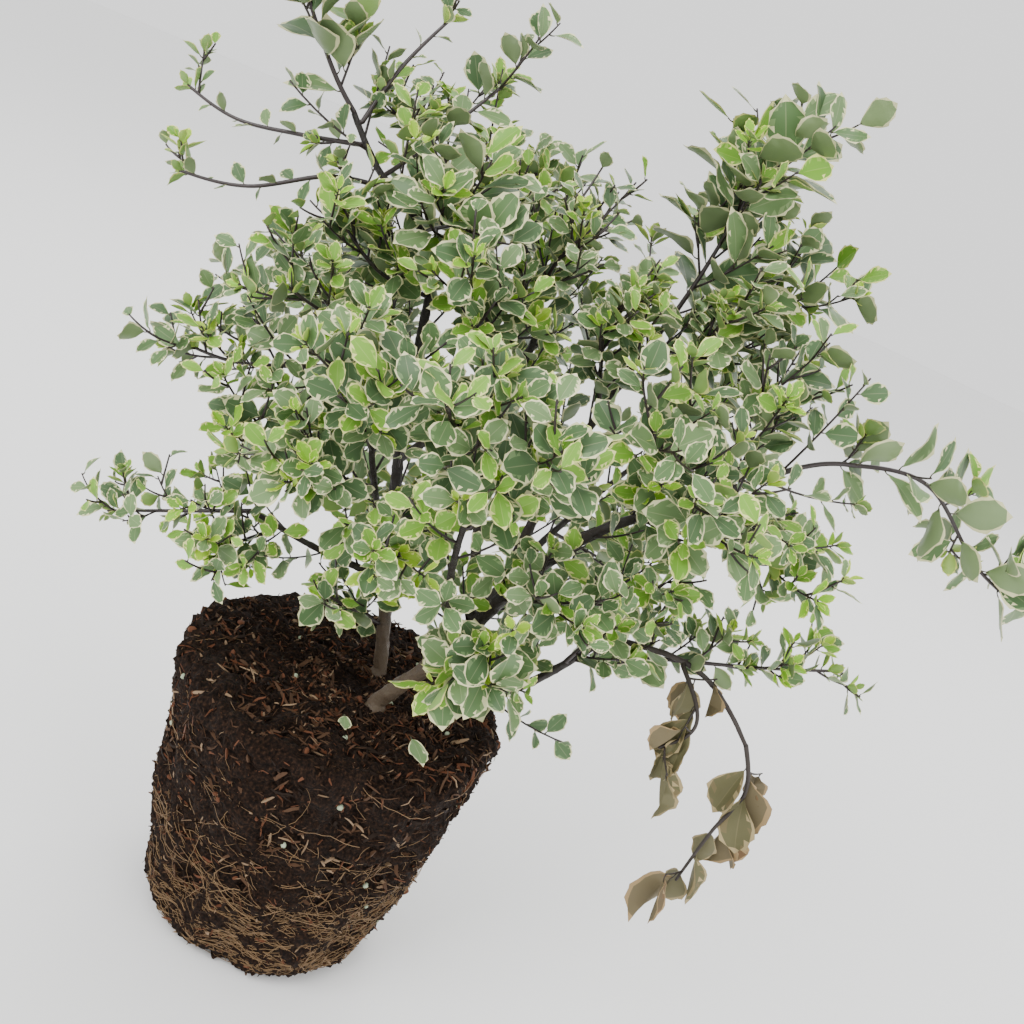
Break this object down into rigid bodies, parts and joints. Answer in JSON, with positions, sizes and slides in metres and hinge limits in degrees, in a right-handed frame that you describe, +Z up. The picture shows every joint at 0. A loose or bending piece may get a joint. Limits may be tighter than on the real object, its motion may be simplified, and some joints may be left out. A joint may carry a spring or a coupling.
{
  "type": "shrub on its root ball",
  "caption": "Young variegated evergreen shrub out of its pot, standing on the flat underside of its pot-shaped root ball.",
  "frame": {"origin": "centre of the root ball's flat underside", "axes": "+Z up, out of the soil along the plant; +X to the right as the plant is seen from its front, which faces -Y"},
  "size_m": [0.503, 0.3171, 0.5006],
  "materials": {
    "root_ball": "dark moist peat with fine roots, matt and crumbly",
    "bark": "grey-brown bark, matt",
    "young_wood": "near-black young wood, slightly glossy",
    "dead_wood": "dry dead twig, matt",
    "leaf": "green leaf with a cream margin, satin",
    "dead_leaf": "dry brown leaf, matt"
  },
  "bodies": {
    "root": {"root_ball": "root_ball", "stem_upright": "bark", "stem_leaning": "bark", "bough_right": "young_wood", "bough_right_upper": "young_wood", "bough_low_right": "young_wood", "bough_dead": "dead_wood", "bough_centre": "young_wood", "bough_left": "young_wood", "bough_left_low": "young_wood", "bough_front_left": "young_wood", "bough_front": "young_wood", "bough_back_left": "young_wood", "bough_back": "young_wood", "bough_back_right": "young_wood", "leader_top": "leaf", "upper_left_high": "leaf", "upper_left_low": "leaf", "upper_right_high": "leaf", "upper_right": "leaf", "leader_side": "leaf", "leader_left": "leaf", "second_leader_top": "leaf", "second_leader_side": "leaf", "right_upper": "leaf", "right_upper_arch": "leaf", "arch_right": "leaf", "dead_tip": "dead_leaf", "dead_side": "dead_leaf", "low_right_tip": "leaf", "far_left_low": "leaf", "left_low": "leaf", "left_mid": "leaf", "left_mid_low": "leaf", "left_upper": "leaf", "left_back": "leaf", "base_left": "leaf", "front_left_top": "leaf", "front_left_low": "leaf", "front_left_side": "leaf", "front_top": "leaf", "front_side": "leaf", "low_front": "leaf", "low_centre": "leaf", "low_right": "leaf", "centre_top": "leaf", "centre_upper": "leaf", "centre_right": "leaf", "right_mid": "leaf", "right_front": "leaf", "right_low": "leaf", "right_edge": "leaf", "right_edge_low": "leaf", "back_left_top": "leaf", "back_left_low": "leaf", "back_top": "leaf", "back_mid": "leaf", "back_low": "leaf", "back_right_top": "leaf", "back_right_low": "leaf"}
  },
  "joints": []
}
